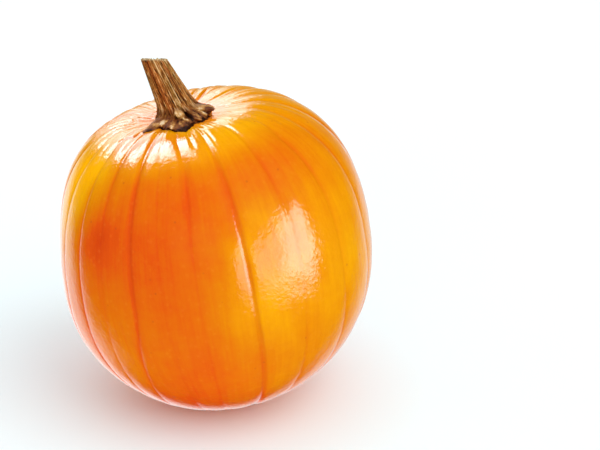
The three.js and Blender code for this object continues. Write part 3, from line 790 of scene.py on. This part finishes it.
def buildSky():
    # Even white for the eye and for matte surfaces. The gloss sees it dim, apart from a band low behind the
    # fruit, which is brighter on the left and fades downwards and above the horizon.
    world = bpy.data.worlds.new("soft white studio")
    bpy.context.scene.world = world
    world.use_nodes = True
    tree = world.node_tree
    tree.nodes.clear()
    direction = addNode(tree, "ShaderNodeTexCoord").outputs["Generated"]
    parts = addNode(tree, "ShaderNodeSeparateXYZ", None, {0: direction}).outputs
    smooth = {"interpolation_type": "SMOOTHSTEP"}
    leftward = addNode(tree, "ShaderNodeMapRange",
                       {"From Min": 0.0, "From Max": -0.3, "To Min": -0.5, "To Max": -0.8},
                       {"Value": parts["X"]})
    backward = addNode(tree, "ShaderNodeMath", {"operation": "MULTIPLY_ADD"},
                       {0: parts["Z"], 1: leftward.outputs[0], 2: parts["Y"]})
    behind = addNode(tree, "ShaderNodeMapRange", {**smooth, "From Min": 0.58, "From Max": 1.02},
                     {"Value": backward.outputs[0]})
    sideways = addNode(tree, "ShaderNodeMapRange",
                       {**smooth, "From Min": 0.15, "From Max": -0.25,
                        "To Min": stage["glossRight"], "To Max": stage["glossLeft"]}, {"Value": parts["X"]})
    dimAbove = addNode(tree, "ShaderNodeMapRange",
                       {"From Min": -0.2, "From Max": 0.05, "To Min": 1, "To Max": 0.5},
                       {"Value": parts["Z"]})
    dimBelow = addNode(tree, "ShaderNodeMapRange", {"From Min": -0.84, "From Max": -0.7},
                       {"Value": parts["Z"]})
    band = behind
    for factor in (sideways, dimAbove, dimBelow):
        band = addNode(tree, "ShaderNodeMath", {"operation": "MULTIPLY"},
                       {0: band.outputs[0], 1: factor.outputs[0]})
    gloss = addNode(tree, "ShaderNodeMath", {"operation": "ADD", 1: stage["glossFront"]},
                    {0: band.outputs[0]})
    high = addNode(tree, "ShaderNodeMapRange", {"From Min": -0.25, "From Max": 0.0}, {"Value": parts["Z"]})

    ray = addNode(tree, "ShaderNodeLightPath").outputs
    tinted = addNode(tree, "ShaderNodeMath", {"operation": "MULTIPLY"},
                     {0: high.outputs[0], 1: ray["Is Glossy Ray"]})
    colour = addNode(tree, "ShaderNodeMix",
                     {"data_type": "RGBA", 6: linearColour(stage["skyColour"]),
                      7: linearColour(stage["glossHighColour"])}, {0: tinted.outputs[0]})
    lit = addNode(tree, "ShaderNodeMix", {"data_type": "FLOAT", 2: stage["skyLight"]},
                  {0: ray["Is Glossy Ray"], 3: gloss.outputs[0]})
    strength = addNode(tree, "ShaderNodeMix", {"data_type": "FLOAT", 3: 1.0},
                       {0: ray["Is Camera Ray"], 2: lit.outputs[0]})
    sky = addNode(tree, "ShaderNodeBackground", None,
                  {"Color": colour.outputs[2], "Strength": strength.outputs[0]})
    addNode(tree, "ShaderNodeOutputWorld", None, {"Surface": sky.outputs[0]})


def addLight(name, kind, direction):
    data = bpy.data.lights.new(name, kind)
    light = bpy.data.objects.new(name, data)
    bpy.context.collection.objects.link(light)
    light.rotation_euler = (-direction).to_track_quat("-Z", "Y").to_euler()
    light.visible_camera = False
    return light, data


# Very wide suns, for soft light on matte surfaces: direction, width in degrees, radiance of a white surface
# that faces it
suns = {
    "keySun": ((0.75, -0.55, 0.95), 60, 0.3),
    "lowSun": ((-0.25, -1, 0.25), 40, 0.16),
}


def addSun(name, direction, width, radiance):
    light, data = addLight(name, "SUN", Vector(direction))
    data.energy = radiance * math.pi
    data.angle = math.radians(width)
    light.visible_glossy = False


# Pale panels that only the gloss shows. Each lies on a plane square to its facing, at a distance from the
# fruit. Its corners are given across and up that plane in shares of the distance, anticlockwise, and each has
# how far inwards the edge that follows it is soft.
panels = {
    "overhead": {"facing": (0, 0, 1), "distance": 10, "radiance": 12, "colour": "#fff3ff", "outline": [
        (-0.92, 0.2, 0.25), (-0.15, 0.06, 0.15), (-0.22, 1.25, 0.3), (-1.38, 1.1, 0.2)]},
    "ceiling": {"facing": (0, 0, 1), "distance": 10.5, "radiance": 4, "colour": "#fff3ff", "outline": [
        (-1, 0.28, 0.25), (-0.2, 0.28, 0.12), (-0.1, 2.65, 0.3), (-0.9, 2.65, 0.3), (-1.6, 2, 0.3),
        (-1.6, 1.05, 0.25)]},
    "behind": {"facing": (0, 0, 1), "distance": 11, "radiance": 2, "colour": "#ffffff", "outline": [
        (-2.6, 1.8, 0.6), (-0.1, 1.8, 0.3), (0.5, 5.6, 0.6), (-2.6, 5.6, 0.6)]},
    "backdrop": {"facing": (0, 1, 0), "distance": 10, "radiance": 1.2, "colour": "#ffffff", "outline": [
        (0, 0.05, 0.15), (0.6, 0.05, 0.15), (0.6, 0.55, 0.15), (0, 0.55, 0.15)]},
    "window": {
        "facing": (0.84, -0.54, 0.12), "distance": 10, "radiance": 4.9, "colour": "#ffffff", "outline": [
            (-0.2, 0.25, 0.3), (-0.3, -0.46, 0.25), (0.28, -0.5, 0.15), (0.45, -0.24, 0.05),
            (0.44, -0.16, 0.14), (0.22, 0.5, 0.2)]},
    "curtain": {
        "facing": (0.84, -0.54, 0.12), "distance": 10.5, "radiance": 3, "colour": "#ffffff", "outline": [
            (-0.76, 0, 0.08), (-0.72, -0.55, 0.3), (0.28, -0.54, 0.15), (0.45, -0.24, 0.05),
            (0.44, -0.16, 0.14), (0.22, 0.5, 0.14)]},
}


def addPanel(name, panel, target):
    # radiance * smooth step of the least distance inside an edge / how far that edge is soft
    facing, distance = Vector(panel["facing"]).normalized(), panel["distance"]
    across = Vector((-facing.y, facing.x, 0)).normalized() if facing.z < 0.99 else Vector((1, 0, 0))
    up = facing.cross(across)
    corners = np.array(panel["outline"])
    low, high = corners[:, :2].min(0), corners[:, :2].max(0)
    size, middle = high - low, (low + high) / 2

    light, data = addLight(name, "AREA", facing)
    light.rotation_euler = Matrix((across, up, facing)).transposed().to_euler()
    light.location = target + (facing + across * middle[0] + up * middle[1]) * distance
    data.shape = "RECTANGLE"
    data.size, data.size_y = size * distance
    data.energy = panel["radiance"] * math.pi * data.size * data.size_y
    data.color = linearColour(panel["colour"])[:3]
    light.visible_diffuse = False

    # UV runs from 0 to 1 across and up the light
    data.use_nodes = True
    tree = data.node_tree
    tree.nodes.clear()
    place = addNode(tree, "ShaderNodeTexCoord").outputs["UV"]
    place = addNode(tree, "ShaderNodeVectorMath", {"operation": "ADD", 1: (0, 0, 1)}, {0: place}).outputs[0]
    least = None
    for corner, after in zip(corners, np.roll(corners, -1, 0)):
        side = after[:2] - corner[:2]
        inward = np.array([-side[1], side[0]]) / math.hypot(*side) / corner[2]
        edge = (*(inward * size), inward @ (low - corner[:2]))
        inside = addNode(tree, "ShaderNodeVectorMath", {"operation": "DOT_PRODUCT", 1: edge}, {0: place})
        inside = inside.outputs["Value"]
        if least is not None:
            inside = addNode(tree, "ShaderNodeMath", {"operation": "MINIMUM"}, {0: least, 1: inside})
            inside = inside.outputs[0]
        least = inside
    soft = addNode(tree, "ShaderNodeMapRange", {"interpolation_type": "SMOOTHSTEP"}, {"Value": least})
    glow = addNode(tree, "ShaderNodeEmission", None, {"Strength": soft.outputs[0]})
    addNode(tree, "ShaderNodeOutputLight", None, {"Surface": glow.outputs[0]})


# a glow from the floor under and round the fruit, for the matte rind above it
underglow = {"width": 0.44, "height": 0.001, "radiance": 0.45}


def addUnderglow():
    light, data = addLight("underglow", "AREA", Vector((0, 0, -1)))
    light.location = (0, 0, underglow["height"])
    data.shape, data.size = "DISK", underglow["width"]
    area = math.pi * (underglow["width"] / 2) ** 2
    data.energy = underglow["radiance"] * math.pi * area
    light.visible_glossy = False


buildFloor()
buildSky()
addUnderglow()
for name, sun in suns.items():
    addSun(name, *sun)
origin = Vector(growthOrigin / 1000)
for name, panel in panels.items():
    addPanel(name, panel, origin)
print("stage: floor, sky, underglow,", len(suns), "suns and", len(panels), "panels")


# Long lens, far enough back for a flat perspective; turned right and up so that the pumpkin stands left of
# the frame's middle and a little low.
cameraPlace = {
    "elevation": 23.46, "distance": 1.44, "turnRight": 3.37, "turnUp": 0.84,
    "lens": 111.8, "sensorWidth": 36, "clipEnd": 100,
}


def buildCamera():
    place = cameraPlace
    data = bpy.data.cameras.new("camera")
    data.lens, data.sensor_width = place["lens"], place["sensorWidth"]
    data.clip_end = place["clipEnd"]
    camera = bpy.data.objects.new("camera", data)
    bpy.context.collection.objects.link(camera)
    elevation = math.radians(place["elevation"])
    away = Vector((0, -math.cos(elevation), math.sin(elevation)))
    camera.location = origin + away * place["distance"]
    level = Euler((math.radians(90) - elevation, 0, 0)).to_matrix()
    turn = Euler((math.radians(place["turnUp"]), -math.radians(place["turnRight"]), 0)).to_matrix()
    camera.rotation_euler = (level @ turn).to_euler()
    bpy.context.scene.camera = camera


buildCamera()
bpy.context.scene.view_settings.view_transform = "Standard"
print("camera:", cameraPlace["elevation"], "degrees up,", cameraPlace["distance"], "m away")
